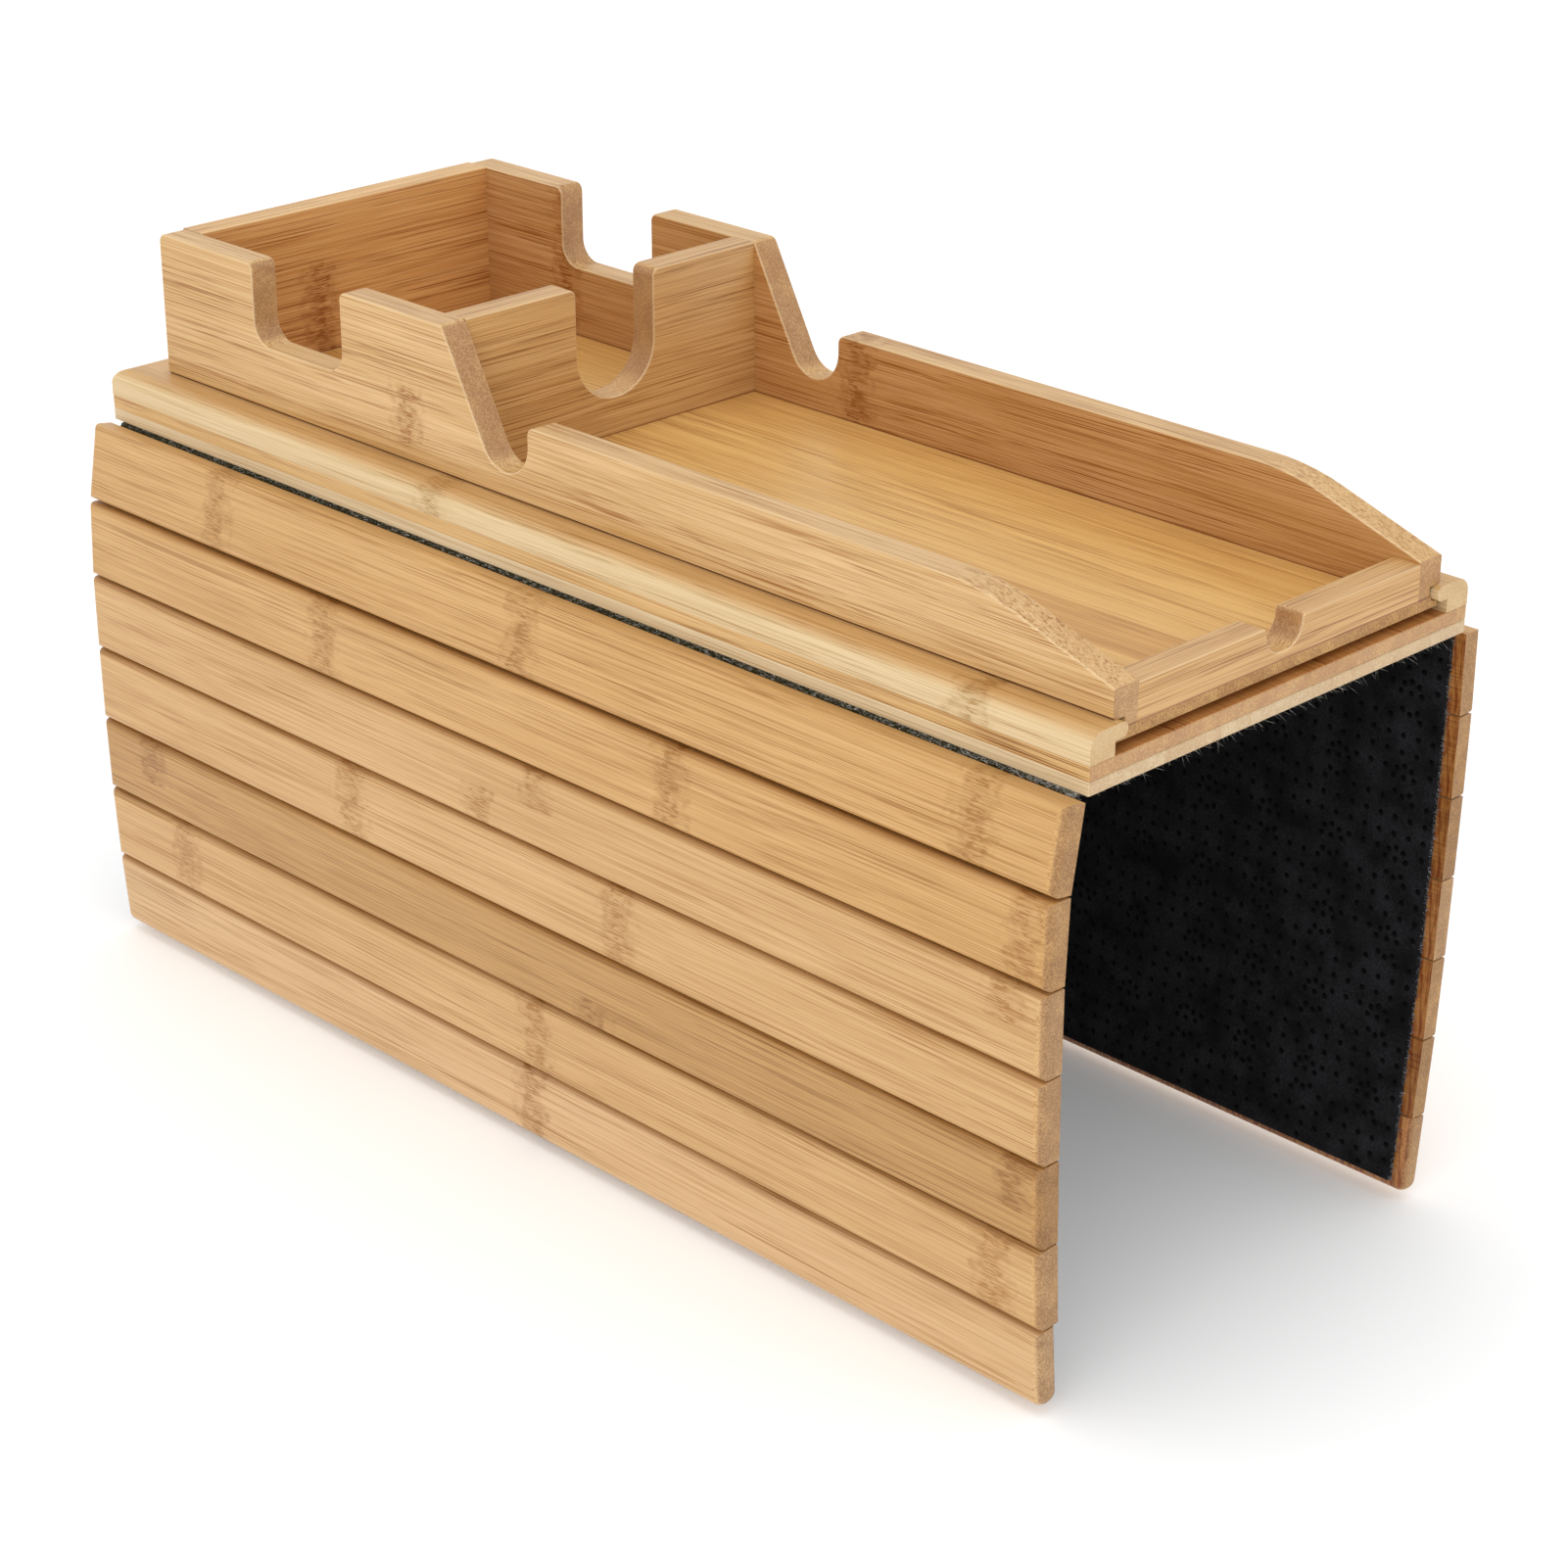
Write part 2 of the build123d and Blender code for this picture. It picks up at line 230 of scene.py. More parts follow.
    # Cut across, the bundles of fibres are uneven brown pores about 0.5 mm apart in a paler net. They run
    # on along the cane, so the pattern is stretched that way.
    stretch, uneven, bundles_per_mm = (1.0, 0.03, 1.0), (0.5, 0.0, 0.5), 1.9
    flat = add(group, "ShaderNodeVectorMath", {"operation": "MULTIPLY", 1: stretch}, {0: place}).outputs[0]
    shift = add(group, "ShaderNodeTexNoise", {"Scale": 2.0, "Detail": 2.0}, {"Vector": flat}).outputs[1]
    shifted = add(group, "ShaderNodeVectorMath", {
        "operation": "MULTIPLY_ADD", 1: uneven}, {0: shift, 2: flat}).outputs[0]
    cell = add(group, "ShaderNodeTexVoronoi", {"Scale": bundles_per_mm}, {"Vector": shifted}).outputs[0]
    pores = add(group, "ShaderNodeMapRange", {**soft_step, "From Min": 0.5, "From Max": 0.12}, {0: cell}).outputs[0]
    net = add(group, "ShaderNodeMapRange", {**soft_step, "From Min": 0.5, "From Max": 0.85}, {0: cell}).outputs[0]
    ended = ground
    for source, weight, least, colour in (
        (mask["zone"], 0.3, 0.3, given["Pore"]), (pores, 0.55, 0.0, given["Pore"]), (net, 0.25, 0.0, given["Light"]),
    ):
        strength = add(group, "ShaderNodeMath", {
            "operation": "MULTIPLY_ADD", 1: weight, 2: least}, {0: source}).outputs[0]
        ended = add(group, "ShaderNodeMix", colour_mix, {"Factor": strength, 6: ended, 7: colour}).outputs[2]
    colour = add(group, "ShaderNodeMix", colour_mix, {
        "Factor": given["Cut across"], 6: faced, 7: ended}).outputs[2]

    # Lines, strokes and pores lie a little deeper under the satin lacquer, and the cut ends are rougher
    fleck_depth, satin_least, satin_most, end_roughness = 0.7, 0.36, 0.52, 0.16
    dips = add(group, "ShaderNodeMath", {
        "operation": "MULTIPLY_ADD", 1: fleck_depth}, {0: flecks, 2: lines}).outputs[0]
    dips = add(group, "ShaderNodeMath", {"operation": "MULTIPLY_ADD"}, {
        0: pores, 1: given["Cut across"], 2: dips}).outputs[0]
    height = add(group, "ShaderNodeMath", {"operation": "SUBTRACT"}, {0: noise["hair"], 1: dips}).outputs[0]
    rough = add(group, "ShaderNodeMapRange", {
        "To Min": satin_least, "To Max": satin_most}, {0: noise["hair"]}).outputs[0]
    rough = add(group, "ShaderNodeMath", {
        "operation": "MULTIPLY_ADD", 1: end_roughness}, {0: given["Cut across"], 2: rough}).outputs[0]
    add(group, "NodeGroupOutput", links={"Colour": colour, "Roughness": rough, "Height": height})
    return group


cane = bamboo_structure()


def start_material(name):
    """New material and its node tree, emptied."""
    material = bpy.data.materials.new(name)
    material.use_nodes = True
    material.node_tree.nodes.clear()
    return material, material.node_tree


def lacquered_bamboo(
        name, grain, across, origin, strips, colours, contrast, strip_width=None, reach=(-nowhere, nowhere),
        edge=None, veils=(), foot=None, sawn=None):
    """Bamboo board under satin lacquer: soft gloss over fine fibre lines, with pores on the cut ends.

    strips lists each strip as (where it ends across, number, up to three places of nodes) in mm, or gives one
    number to start from when every strip_width mm begins another strip. colours are light, dark, fibre and
    pore; reach is where across the nodes begin and end. edge gives the colour and strength of a painted
    highlight on the rounded edges. Each of veils is a direction, the two values of the normal along it between
    which it comes in, its colour and its strength. foot is where across the board stands on another, with a
    painted shadow line along it. sawn is the direction of a face that keeps its saw marks.
    """
    material, tree = start_material(name)
    through = grain.cross(across)
    coordinates = add(tree, "ShaderNodeTexCoord").outputs
    local = add(tree, "ShaderNodeVectorMath", {"operation": "SUBTRACT", 1: origin}, {0: coordinates["Object"]})
    parts = {}
    for socket, axis in (("X", across), ("Y", grain), ("Z", through)):
        distance = add(tree, "ShaderNodeVectorMath", {"operation": "DOT_PRODUCT", 1: axis}, {0: local.outputs[0]})
        parts[socket] = add(tree, "ShaderNodeMath", {
            "operation": "MULTIPLY", 1: 1 / mm}, {0: distance.outputs["Value"]}).outputs[0]
    place = add(tree, "ShaderNodeCombineXYZ", links=parts).outputs[0]
    facing = {}
    for title, axis in (("grain", grain), ("through", through)):
        toward = add(tree, "ShaderNodeVectorMath", {"operation": "DOT_PRODUCT", 1: axis}, {0: coordinates["Normal"]})
        facing[title] = add(tree, "ShaderNodeMath", {
            "operation": "ABSOLUTE"}, {0: toward.outputs["Value"]}).outputs[0]
    # A rounded corner turns from long face to cut end between these parts of its normal along the grain
    long_face, cut_end = 0.42, 0.75
    cut = add(tree, "ShaderNodeMapRange", {
        **soft_step, "From Min": long_face, "From Max": cut_end}, {0: facing["grain"]})

    strip = add(tree, "ShaderNodeGroup", {"node_tree": cane})
    if strip_width:
        strip_shade = 0.35
        share = add(tree, "ShaderNodeMath", {"operation": "DIVIDE", 1: strip_width}, {0: parts["X"]}).outputs[0]
        share = add(tree, "ShaderNodeMath", {"operation": "ADD", 1: strips}, {0: share}).outputs[0]
        number = add(tree, "ShaderNodeMath", {"operation": "FLOOR"}, {0: share}).outputs[0]
        chance = add(tree, "ShaderNodeTexWhiteNoise", {"noise_dimensions": "1D"}, {"W": number}).outputs[0]
        shade = add(tree, "ShaderNodeMapRange", {
            "To Min": -strip_shade, "To Max": strip_shade}, {0: chance}).outputs[0]
        tree.links.new(shade, strip.inputs["Tone"])
        bands = add(tree, "ShaderNodeCombineXYZ", {0: -nowhere, 1: -nowhere, 2: -nowhere}).outputs[0]
    else:
        strips = [(limit, number, (*places, nowhere, nowhere)[:3]) for limit, number, places in strips]
        number = add(tree, "ShaderNodeValue").outputs[0]
        number.default_value = strips[0][1]
        bands = add(tree, "ShaderNodeCombineXYZ", dict(enumerate(strips[0][2]))).outputs[0]
        for (limit, _, _), (_, following, places) in zip(strips, strips[1:]):
            beyond = add(tree, "ShaderNodeMath", {"operation": "GREATER_THAN", 1: limit}, {0: parts["X"]}).outputs[0]
            number = add(tree, "ShaderNodeMix", {3: following}, {"Factor": beyond, 2: number}).outputs[0]
            bands = add(tree, "ShaderNodeMix", {
                "data_type": "VECTOR", 5: places}, {"Factor": beyond, 4: bands}).outputs[1]
    for socket, source in (("Place", place), ("Number", number), ("Bands", bands), ("Cut across", cut.outputs[0])):
        tree.links.new(source, strip.inputs[socket])
    strip.inputs["Contrast"].default_value = contrast
    strip.inputs["Reach"].default_value = (*reach, 0.0)
    for socket, tint in zip(("Light", "Dark", "Fibre", "Pore"), colours):
        strip.inputs[socket].default_value = linear(tint)
    colour = strip.outputs["Colour"]

    if edge:
        # Painted highlight where the light catches the rounding between the board's broad and narrow faces, and on
        # neither face itself
        tint, weight = edge
        narrow_face, near_narrow, near_broad, broad_face = 0.12, 0.5, 0.9, 0.99
        rising = add(tree, "ShaderNodeMapRange", {
            **soft_step, "From Min": narrow_face, "From Max": near_narrow, "To Max": weight,
        }, {0: facing["through"]}).outputs[0]
        falling = add(tree, "ShaderNodeMapRange", {
            **soft_step, "From Min": broad_face, "From Max": near_broad}, {0: facing["through"]}).outputs[0]
        strength = add(tree, "ShaderNodeMath", {"operation": "MULTIPLY"}, {0: rising, 1: falling}).outputs[0]
        colour = add(tree, "ShaderNodeMix", {**colour_mix, 7: linear(tint)}, {
            "Factor": strength, 6: colour}).outputs[2]
    for axis, low, high, tint, weight in veils:
        toward = add(tree, "ShaderNodeVectorMath", {"operation": "DOT_PRODUCT", 1: axis}, {0: coordinates["Normal"]})
        strength = add(tree, "ShaderNodeMapRange", {
            **soft_step, "From Min": low, "From Max": high, "To Max": weight}, {0: toward.outputs["Value"]})
        colour = add(tree, "ShaderNodeMix", {**colour_stain, 7: linear(tint)}, {
            "Factor": strength.outputs[0], 6: colour}).outputs[2]
    # Painted shadow line along the foot, where the board stands on another
    if foot:
        joint_fade, joint_line, joint_shadow_strength = foot + 0.6, foot + 0.15, 0.8
        shaded = add(tree, "ShaderNodeMapRange", {
            **soft_step, "From Min": joint_fade, "From Max": joint_line, "To Max": joint_shadow_strength}, {0: parts["X"]})
        colour = add(tree, "ShaderNodeMix", {**colour_stain, 7: linear("#A0653A")}, {
            "Factor": shaded.outputs[0], 6: colour}).outputs[2]
    if sawn:
        # Marks of the saw teeth are 0.3 mm apart in truth and are drawn 1 mm apart so that they show
        saw_mark = (9.0, 1.0, 9.0)
        spread = add(tree, "ShaderNodeVectorMath", {"operation": "DIVIDE", 1: saw_mark}, {0: place})
        marks = add(tree, "ShaderNodeTexNoise", {
            "Scale": 1.0, "Detail": 2.0, "Roughness": 0.6}, {"Vector": spread.outputs[0]}).outputs[0]
        marks = add(tree, "ShaderNodeMapRange", {
            **soft_step, "From Min": 0.42, "From Max": 0.62}, {0: marks}).outputs[0]
        toward = add(tree, "ShaderNodeVectorMath", {"operation": "DOT_PRODUCT", 1: sawn}, {0: coordinates["Normal"]})
        toward = add(tree, "ShaderNodeMapRange", {
            "From Min": 0.3, "From Max": 0.9}, {0: toward.outputs["Value"]}).outputs[0]
        strength = add(tree, "ShaderNodeMath", {"operation": "MULTIPLY"}, {0: marks, 1: toward}).outputs[0]
        colour = add(tree, "ShaderNodeMix", {**colour_stain, 7: linear("#C09472")}, {
            "Factor": strength, 6: colour}).outputs[2]

    fibre_dip = 0.04 * mm
    relief = add(tree, "ShaderNodeBump", {"Strength": 0.3, "Distance": fibre_dip}, {"Height": strip.outputs["Height"]})
    surface = add(tree, "ShaderNodeBsdfPrincipled", {
        "IOR": 1.46, "Coat Weight": 0.12, "Coat Roughness": 0.3,
    }, {"Base Color": colour, "Roughness": strip.outputs["Roughness"], "Normal": relief.outputs[0]})
    add(tree, "ShaderNodeOutputMaterial", links={0: surface.outputs[0]})
    return material


def finish_wood(node, material, wear=None):
    """Gives a wooden part its material and, where the saw left sharp edges, the sanded ones of the real board."""
    piece = frame["nodes"][node]
    piece.data.materials.clear()
    piece.data.materials.append(material)
    if wear:
        weld = piece.modifiers.new("Weld", "WELD")
        weld.merge_threshold = 0.001 * mm
        bevel = piece.modifiers.new("Sanded edges", "BEVEL")
        bevel.width = wear
        bevel.segments = 2
        bevel.limit_method = "ANGLE"
        bevel.angle_limit = sharp_corner


finish_wood("base_board_lower", lacquered_bamboo(
    "Pale bamboo board, pressed and lacquered", along_tray, across_tray, Vector(), 3.2,
    ("#E4D2AE", "#D0B68C", "#A88250", "#B08A62"), 0.4, base_strip_width), board_edge_wear)
# The upper board's upward faces are painted darker, for the shade under the tray floor
finish_wood("base_board_upper", lacquered_bamboo(
    "Steamed bamboo board, pressed and lacquered", along_tray, across_tray, Vector(), 11.7,
    ("#DDB67C", "#C09454", "#8A5418", "#9A6C4E"), 1.0, base_strip_width,
    veils=((upwards, 0.5, 0.95, "#D6A87C", 0.8),)), board_edge_wear)

# Rails: pale strips glued along both long edges of the board, with a pocket under a round-nosed lip.
# They are shaped with a moulding cutter and sanded; the outer face is creamier than the top, whose tan is partly
# painted shade.
rail_colours = ("#DEC499", "#CEB07F", "#A37C40", "#B8925F")
for side, number, nodes in (("left", 21, (-152, 44)), ("right", 24, (-60, 110))):
    finish_wood("rail_" + side, lacquered_bamboo(
        "Bamboo rail, moulded and lacquered, " + side, along_tray, upwards, Vector(),
        [(0, number, nodes)], rail_colours, 0.75, veils=((upwards, 0.4, 0.95, "#F1DCBE", 1.0),)))

# Rear stop: a bamboo cross strip glued on the base board between the rails, where the tray ends its
# travel. Its rear top edge is rounded with the same cutter as the rails' ends.
finish_wood("rear_stop", lacquered_bamboo(
    "Bamboo stop strip, planed and lacquered", across_tray, along_tray, Vector(),
    [(0, 31, (30,))], ("#DDB781", "#C7985C", "#A87840", "#A57B4C"), 0.4))

# Tray floor: a thin golden board, glued up from strips and pressed, with the grain along the tray.
# It isn't glued to the base: its edges run in the rails' pockets.
floor_strip_width = 17.6
finish_wood("tray_floor", lacquered_bamboo(
    "Golden bamboo board, pressed and lacquered", along_tray, across_tray, Vector(), 5.4,
    ("#E2B56C", "#C8934C", "#965E20", "#6E4020"), 0.7, floor_strip_width))

# Side walls: boards sawn to the profile, with rounded edges; the grain runs along the tray. Each is one wide
# strip with dense dark fibres and few nodes. The inner faces are painted a redder brown for the shade inside
# the tray, and a painted shadow line shows where the walls stand on the floor and hang over the rails.
floor_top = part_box("tray_floor")[1].z / mm
joint_shade = (-upwards, 0.3, 0.65, "#8A4E26", 1.0)
wall_colours = ("#DAB580", "#C29555", "#98601E", "#8A5A3A")
wall_edge_highlight = ("#F1DAB2", 0.3)
for side, number, nodes, reach, inward in (
    ("left", 41, (64,), (22.0, 38.0), 1), ("right", 46, (7, 130), (-nowhere, nowhere), -1),
):
    finish_wood("tray_wall_" + side, lacquered_bamboo(
        "Bamboo side wall, sawn and lacquered, " + side, along_tray, upwards, Vector(),
        [(0, number, nodes)], wall_colours, 0.95, reach=reach, edge=wall_edge_highlight,
        veils=((across_tray * inward, 0.9, 1.0, "#D9B08C", 0.5), joint_shade), foot=floor_top))

# Cross walls: rear wall, divider and front wall, sawn from the same board and glued between the side walls
# with the grain across. The rear wall's inner face is painted redder and darker, for the shade deep in the cup
# compartment.
cross_colours = ("#D4AA71", "#BA8A4D", "#8C5A24", "#8A5A3A")
rear_colours = ("#E4BC80", "#CC9854", "#92571E", "#8A5A3A")
cross_reach = (-nowhere, 41.0)
for node, number, nodes, colours, inner_shade in (
    ("tray_wall_rear", 51, (-12,), rear_colours, 0.35),
    ("tray_divider", 54, (120,), cross_colours, 0.0),
    ("tray_wall_front", 57, (-120,), cross_colours, 0.0),
):
    finish_wood(node, lacquered_bamboo(
        "Bamboo cross wall, sawn and lacquered, " + node[5:], across_tray, upwards, Vector(),
        [(0, number, nodes)], colours, 0.85, reach=cross_reach, edge=wall_edge_highlight,
        veils=((-along_tray, 0.9, 1.0, "#EFC094", inner_shade),), foot=floor_top))

# Slats: seven strips of bamboo on each side, sawn, rounded on the outer edges and ends, and glued on the
# felt. Every slat is cut from another cane, so tone and nodes differ from one to the next.
slat_tones = {
    "honey": ("#D2A66B", "#BB8D4F", "#94601A", "#6E4628"),
    "pale": ("#D4AC77", "#BE9259", "#9A6622", "#744C30"),
    "amber": ("#C4985C", "#AB7F46", "#865414", "#684024"),
    "sand": ("#D9B486", "#C69E6A", "#94621E", "#6E4628"),
}
slat_plan = {
    "left": (
        ("honey", [(0, 61, (128, -4, -164))]),
        ("honey", [(0, 62, (78, -63, -183))]),
        ("pale", [(11, 63, (-11, -178)), (0, 64, (12,))]),
        ("pale", [(0, 65, (-43, 68))]),
        ("amber", [(14, 66, (-182, 165)), (0, 67, (-31,))]),
        ("pale", [(0, 68, (152, -7, -175))]),
        ("sand", [(0, 69, (-3,))]),
    ),
    "right": (
        ("honey", [(0, 71, (-150, 20, 160))]),
        ("honey", [(0, 72, (-90, 60))]),
        ("amber", [(10, 73, (40, -170)), (0, 74, (-20, 140))]),
        ("pale", [(0, 75, (110, -50))]),
        ("honey", [(0, 76, (5, -160))]),
        ("amber", [(0, 77, (75, -100))]),
        ("pale", [(0, 78, (-30, 125))]),
    ),
}


def broad_normal(node):
    """Outward direction of the broad face of a slat, read from its largest face."""
    piece = frame["nodes"][node]
    widest = max(piece.data.polygons, key=lambda face: face.area)
    normal = Vector((widest.normal.x, 0, widest.normal.z)).normalized()
    outward = 1 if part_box(node)[0].x > 0 else -1
    return normal if normal.x * outward > 0 else -normal


hinges = {joint["child"]: Vector(joint["pos_m"]) for joint in frame["joints"] if joint["type"] == "hinge"}
slat_frames = {}
for side, plan in slat_plan.items():
    for number, (tone, strips) in enumerate(plan, 1):
        name = side + "_" + str(number)
        hinge = hinges["flap_" + name]
        normal = broad_normal("slat_" + name)
        downward = Vector((normal.z, 0, -normal.x)) if normal.x > 0 else Vector((-normal.z, 0, normal.x))
        slat_frames[name] = (hinge, downward, normal)
        back_veil = (-normal, 0.3, 0.9, "#E3C3A2", 1.0)
        # Painted shade on the upper rounding of slats 2 to 7, for the shadow of the slat above
        upper_edge_shade = (-downward, 0.45, 0.95, "#B88F5E", 0.35 if number > 1 else 0.0)
        finish_wood("slat_" + name, lacquered_bamboo(
            "Bamboo slat, rounded and lacquered, " + name, along_tray, downward, hinge, strips, slat_tones[tone],
            0.72, veils=(back_veil, upper_edge_shade), sawn=-normal))

# Felt: one black needle-punched polyester sheet, glued under the base and behind every slat. It folds in
# the gaps between the slats, where nothing else joins them.
felt_low, felt_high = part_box("felt_base")
felt_thickness = felt_high.z - felt_low.z
felt_front, felt_rear = felt_low.y, felt_high.y
felt_width = felt_rear - felt_front
felt_tail_margin = 3.7 * mm
slat_reach = (hinges["flap_left_4"] - hinges["flap_left_3"]).length
# Over the base's edge the sheet starts under the base, turns the corner and is straight again at past_corner radii
base_overlap = 6.0 * mm
base_between = 4.0 * mm
corner_radius = 1.6 * mm
corner_steps = 6
past_corner = 1.2
crease_half = 0.8 * mm
crease_share = 0.35
crease_foot = 3.2 * mm
slat_share = 0.3
column_step = 4.0 * mm
end_column = 0.5 * mm
end_thickness_share = 0.62
end_raggedness = 0.25 * mm
undulation = 0.12 * mm
# Outside, beside the base, the fold is tinted olive, and the loose fibres paler, between these heights
fold_tint_low, fold_tint_high = -4 * mm, -1 * mm
fold_tint_strength = 0.8
felt_crease_angle = math.radians(50)


def felt_material():
    """Needle-punched polyester felt: deep black without gloss, under a dry grey bloom of fibre ends."""
    material, tree = start_material("Polyester felt, needle-punched")
    coordinates = add(tree, "ShaderNodeTexCoord").outputs
    place = coordinates["Object"]
    # Fibres are 0.02 mm thick in truth; the bloom is drawn as tufts of 0.7 mm so that it shows
    tufts = add(tree, "ShaderNodeTexNoise", {
        "Scale": 1 / (0.7 * mm), "Detail": 3.0, "Roughness": 0.7}, {"Vector": place}).outputs[0]
    patches = add(tree, "ShaderNodeTexNoise", {"Scale": 1 / (9 * mm), "Detail": 2.0}, {"Vector": place}).outputs[0]
    bloom = add(tree, "ShaderNodeMath", {"operation": "MULTIPLY"}, {0: tufts, 1: patches}).outputs[0]
    bloom = add(tree, "ShaderNodeMapRange", {"From Min": 0.16, "From Max": 0.42}, {0: bloom}).outputs[0]
    colour = add(tree, "ShaderNodeMix", {**colour_mix, 6: linear("#0E0E0F"), 7: linear("#2A292C")}, {
        "Factor": bloom}).outputs[2]
    # Outside, beside the base, the fold's upward faces are tinted olive
    level = add(tree, "ShaderNodeSeparateXYZ", links={0: place}).outputs[2]
    level = add(tree, "ShaderNodeMapRange", {
        "From Min": fold_tint_low, "From Max": fold_tint_high, "To Max": fold_tint_strength}, {0: level}).outputs[0]
    upper = add(tree, "ShaderNodeSeparateXYZ", links={0: coordinates["Normal"]}).outputs[2]
    upper = add(tree, "ShaderNodeMapRange", {"From Min": -0.05, "From Max": 0.2}, {0: upper}).outputs[0]
    beside_base = add(tree, "ShaderNodeMath", {"operation": "MULTIPLY"}, {0: level, 1: upper}).outputs[0]
    colour = add(tree, "ShaderNodeMix", {**colour_mix, 7: linear("#2C2810")}, {
        "Factor": beside_base, 6: colour}).outputs[2]
    relief = add(tree, "ShaderNodeBump", {"Strength": 0.8, "Distance": 0.2 * mm}, {"Height": tufts})
    surface = add(tree, "ShaderNodeBsdfPrincipled", {
        "Roughness": 0.95, "IOR": 1.4, "Specular IOR Level": 0.08, "Sheen Weight": 0.05, "Sheen Roughness": 0.5,
    }, {"Base Color": colour, "Normal": relief.outputs[0]})
    add(tree, "ShaderNodeOutputMaterial", links={0: surface.outputs[0]})
    return material


black_felt = felt_material()


def fold_stations(side, number):
    """Outer-face points of the sheet and their outward directions, over one fold of a flap."""
    pivot, downward, normal = slat_frames[side + "_" + str(number)]
    if number < 7:
        following = hinges["flap_" + side + "_" + str(number + 1)]
        end = (following - pivot).length - slat_reach / 2
    else:
        end = slat_reach - felt_tail_margin
    after = [crease_half * crease_share, crease_half, crease_foot, slat_reach * slat_share, end]
    if number == 1:
        outward = 1 if side == "right" else -1
        centre = pivot + Vector((-outward * corner_radius, 0, -corner_radius))
        stations = [
            (Vector((pivot.x - outward * back, 0, pivot.z)), upwards.copy())
            for back in (base_overlap, base_between, corner_radius)
        ]
        lean = math.atan2(normal.z, abs(normal.x))
        for step in range(1, corner_steps):
            turn = math.radians(90) - (math.radians(90) - lean) * step / corner_steps
            direction = Vector((outward * math.cos(turn), 0, math.sin(turn)))
            stations.append((centre + direction * corner_radius, direction))
        after[:2] = [corner_radius * past_corner]
    else:
        _, earlier_down, earlier_normal = slat_frames[side + "_" + str(number - 1)]
        before = [slat_reach / 2, slat_reach * slat_share, crease_foot, crease_half, crease_half * crease_share]
        stations = [(pivot - earlier_down * back, earlier_normal) for back in before]
        stations.append((pivot.copy(), (earlier_normal + normal).normalized()))
    stations += [(pivot + downward * ahead, normal) for ahead in after]
    return stations


def soft_part(name, mesh, material):
    """Makes a smooth-shaded part of a finished mesh."""
    data = bpy.data.meshes.new(name)
    mesh.to_mesh(data)
    mesh.free()
    for face in data.polygons:
        face.use_smooth = True
    data.materials.append(material)
    piece = bpy.data.objects.new(name, data)
    bpy.context.scene.collection.objects.link(piece)
    return piece


def felt_piece(name, stations, seed):
    """Closed sheet of felt over the stations, with soft uneven faces and thinned, ragged cut ends."""
    rng = random.Random(seed)
    columns = []
    y = felt_front
    while y < felt_rear - column_step / 2:
        columns.append(y)
        y += column_step
    columns.append(felt_rear)
    columns.insert(1, felt_front + end_column)
    columns.insert(-1, felt_rear - end_column)
    mesh = bmesh.new()
    rows = []
    for y in columns:
        at_end = y in (felt_front, felt_rear)
        thinned = (1 - end_thickness_share) * felt_thickness / 2 if at_end else 0
        if at_end:
            y += rng.uniform(-end_raggedness, end_raggedness)
        outer = []
        inner = []
        for place, normal in stations:
            joins_next = place in (stations[0][0], stations[-1][0])
            soft = 0 if at_end or joins_next else rng.uniform(0, undulation)
            outer.append(mesh.verts.new(Vector((place.x, y, place.z)) - normal * thinned))
            inner.append(mesh.verts.new(Vector((place.x, y, place.z)) - normal * (felt_thickness - thinned - soft)))
        rows.append((outer, inner))
    last = len(stations) - 1
    for (outer_a, inner_a), (outer_b, inner_b) in zip(rows, rows[1:]):
        for i in range(last):
            mesh.faces.new((outer_a[i], outer_a[i + 1], outer_b[i + 1], outer_b[i]))
            mesh.faces.new((inner_a[i], inner_b[i], inner_b[i + 1], inner_a[i + 1]))
        for i in (0, last):
            mesh.faces.new((outer_a[i], outer_b[i], inner_b[i], inner_a[i]))
    for outer, inner in (rows[0], rows[-1]):
        for i in range(last):
            mesh.faces.new((outer[i], outer[i + 1], inner[i + 1], inner[i]))
    bmesh.ops.recalc_face_normals(mesh, faces=mesh.faces)
    piece = soft_part(name, mesh, black_felt)
    piece.data.set_sharp_from_angle(angle=felt_crease_angle)
    return piece


# Rubber dots: soft black rubber printed on the felt's inner face and cured, so that the flaps don't slip
# on the sofa's arm. They lie in a grid, with a flower of nine every so often.
dot_radius = 0.9 * mm
dot_height = 0.13 * mm
dot_step = 4.7 * mm
dot_margin = 1.5 * mm
flower_step = 21.0 * mm
flower_radius = 3.3 * mm
flower_petals = 8
flower_clearance = 2.2 * mm
felt_edge_margin = 2.0 * mm


def printed_rubber():
    """Printed rubber: matt and blacker than the felt, so that the dots read as dark points in its bloom."""
    material, tree = start_material("Rubber dots, printed")
    place = add(tree, "ShaderNodeTexCoord").outputs["Object"]
    grime = add(tree, "ShaderNodeTexNoise", {"Scale": 1 / (6 * mm), "Detail": 2.0}, {"Vector": place}).outputs[0]
    colour = add(tree, "ShaderNodeMix", {**colour_mix, 6: linear("#010101"), 7: linear("#040404")}, {
        "Factor": grime}).outputs[2]
    rough = add(tree, "ShaderNodeMapRange", {"To Min": 0.7, "To Max": 0.9}, {0: grime}).outputs[0]
    surface = add(tree, "ShaderNodeBsdfPrincipled", {"IOR": 1.5, "Specular IOR Level": 0.1}, {
        "Base Color": colour, "Roughness": rough})
    add(tree, "ShaderNodeOutputMaterial", links={0: surface.outputs[0]})
    return material


dot_rubber = printed_rubber()


